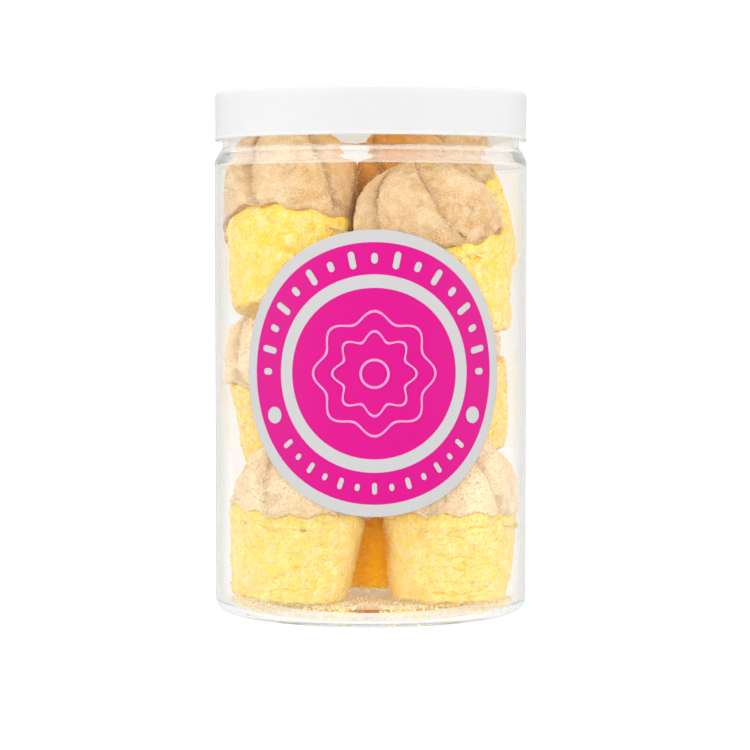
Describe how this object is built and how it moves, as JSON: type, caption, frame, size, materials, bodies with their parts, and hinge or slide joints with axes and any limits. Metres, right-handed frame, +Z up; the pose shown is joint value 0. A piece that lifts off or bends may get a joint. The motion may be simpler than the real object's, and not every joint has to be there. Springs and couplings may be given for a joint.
{
  "type": "jar of cupcake-shaped marshmallows",
  "caption": "Clear screw-top plastic jar with a smooth white cap and a round label, filled with yellow cup-shaped marshmallows with tan swirled tops.",
  "frame": {"origin": "the middle of the jar's foot, on the surface it stands on", "axes": "+Z is up along the jar's axis, and -Y is the front, where the label is"},
  "size_m": [0.1, 0.1005, 0.166],
  "materials": {
    "clear_plastic": "clear and glossy",
    "white_cap": "smooth, satin",
    "label_print": "printed, satin",
    "yellow_foam": "soft foam, dusted with fine sugar",
    "tan_foam": "soft foam, dusted with fine sugar"
  },
  "bodies": {
    "root": {"jar": "clear_plastic", "cap": "white_cap", "label": "label_print", "low_left_cup": "yellow_foam", "low_left_swirl": "tan_foam", "low_right_cup": "yellow_foam", "low_right_swirl": "tan_foam", "low_back_cup": "yellow_foam", "low_back_swirl": "tan_foam", "mid_left_cup": "yellow_foam", "mid_left_swirl": "tan_foam", "mid_right_cup": "yellow_foam", "mid_right_swirl": "tan_foam", "mid_front_cup": "yellow_foam", "mid_front_swirl": "tan_foam", "top_left_cup": "yellow_foam", "top_left_swirl": "tan_foam", "top_right_cup": "yellow_foam", "top_right_swirl": "tan_foam", "top_back_cup": "yellow_foam", "top_back_swirl": "tan_foam", "top_corner_cup": "yellow_foam", "top_corner_swirl": "tan_foam"}
  },
  "joints": []
}
